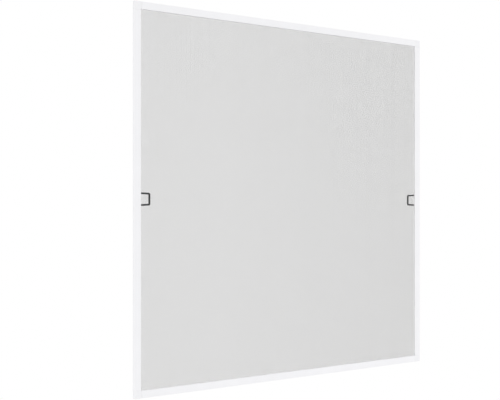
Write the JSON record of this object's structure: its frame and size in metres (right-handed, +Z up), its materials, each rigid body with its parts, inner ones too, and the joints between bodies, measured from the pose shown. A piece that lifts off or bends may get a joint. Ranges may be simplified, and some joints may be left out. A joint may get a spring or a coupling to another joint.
{
  "type": "window insect screen frame",
  "caption": "Rectangular insect screen with white aluminium profiles, moulded corners, fine mesh, side pull loops, brush seals and hook brackets on the back.",
  "frame": {"origin": "middle of the bottom edge, halfway through the profile's depth", "axes": "+X to the right seen from outdoors, +Y towards the room, +Z up; the front faces -Y"},
  "size_m": [1.1, 0.0295, 1.2],
  "materials": {
    "powder_coat": "white powder coat on extruded aluminium, satin",
    "white_plastic": "moulded white plastic, satin, matched to the profiles",
    "mesh_cloth": "grey coated fibreglass insect mesh",
    "spline_rubber": "dark grey toothed cord, matt",
    "brush_pile": "grey polypropylene pile on a woven backing",
    "grey_plastic": "moulded dark grey plastic",
    "bracket_steel": "zinc plated sheet steel",
    "screw_steel": "bright zinc plated"
  },
  "bodies": {
    "root": {"top_rail": "powder_coat", "bottom_rail": "powder_coat", "left_stile": "powder_coat", "right_stile": "powder_coat", "corner_connector_bottom_left": "white_plastic", "corner_connector_bottom_right": "white_plastic", "corner_connector_top_right": "white_plastic", "corner_connector_top_left": "white_plastic", "insect_mesh": "mesh_cloth", "spline_top": "spline_rubber", "spline_bottom": "spline_rubber", "spline_left_upper": "spline_rubber", "spline_left_lower": "spline_rubber", "spline_right_upper": "spline_rubber", "spline_right_lower": "spline_rubber", "brush_seal_top": "brush_pile", "brush_seal_bottom": "brush_pile", "brush_seal_left": "brush_pile", "brush_seal_right": "brush_pile", "pull_loop_left": "grey_plastic", "pull_loop_right": "grey_plastic", "hanging_bracket_top_left": "bracket_steel", "hanging_bracket_top_right": "bracket_steel", "hanging_bracket_bottom_left": "bracket_steel", "hanging_bracket_bottom_right": "bracket_steel", "bracket_screws": "screw_steel"}
  },
  "joints": []
}
